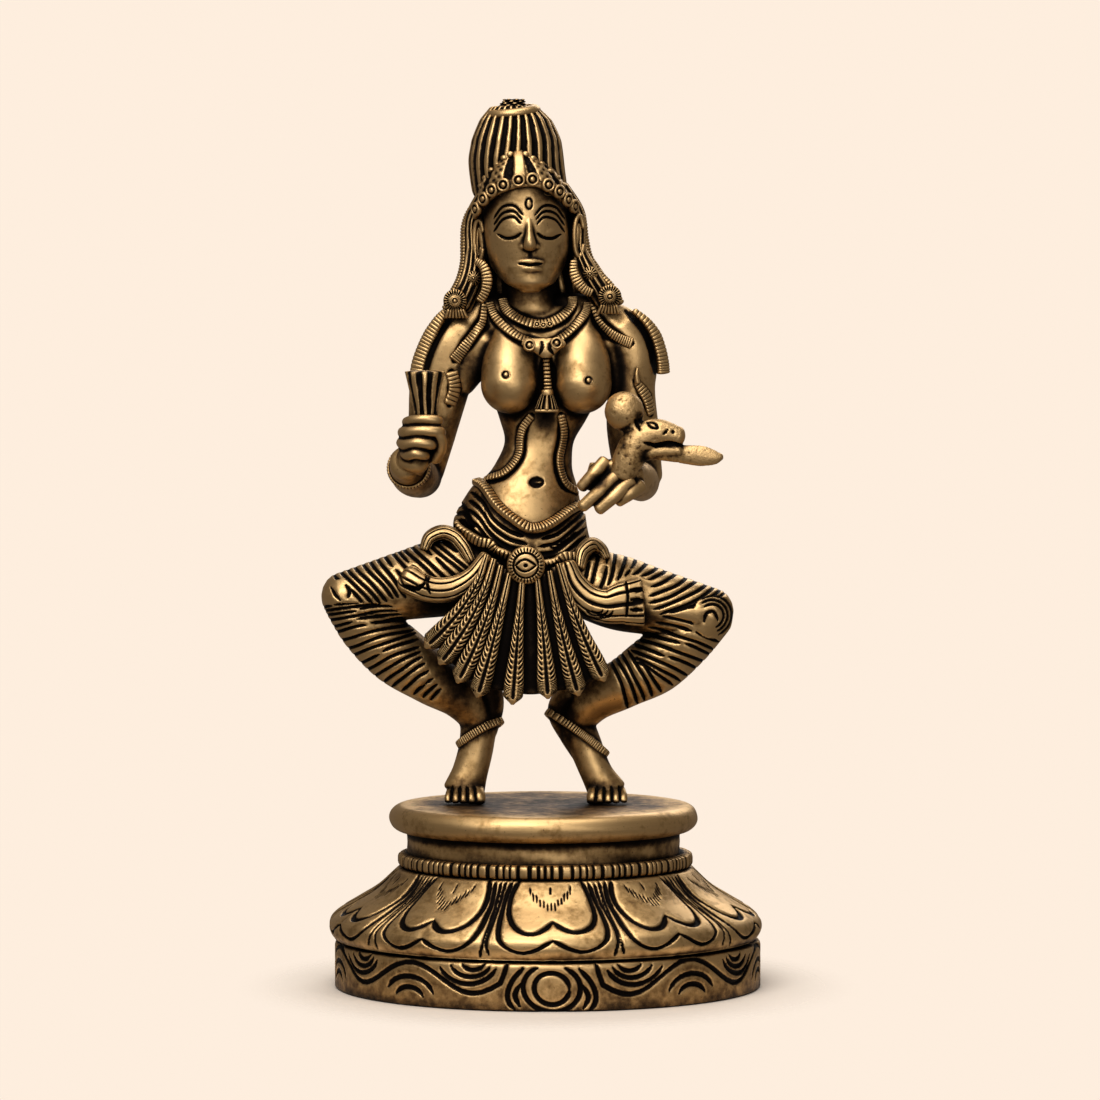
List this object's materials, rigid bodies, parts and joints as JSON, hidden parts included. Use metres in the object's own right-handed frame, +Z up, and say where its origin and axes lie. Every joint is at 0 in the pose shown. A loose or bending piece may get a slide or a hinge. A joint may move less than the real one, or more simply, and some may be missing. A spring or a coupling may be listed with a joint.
{
  "type": "parvati figure",
  "caption": "Cast brass figure of a dancing goddess, knees bent wide, on an oval lotus base, for a shelf or table.",
  "frame": {"origin": "middle of the lotus base's flat underside", "axes": "+Z up, the figure faces -Y, +X is the figure's left"},
  "size_m": [0.1517, 0.1286, 0.3056],
  "materials": {
    "figure_brass": "antique brass, dark in the hollows and rubbed bright on the high places",
    "base_brass": "antique brass, brushed by hand, with dark hand-cut lines"
  },
  "bodies": {
    "root": {"figure": "figure_brass", "lotus_base": "base_brass"}
  },
  "joints": []
}
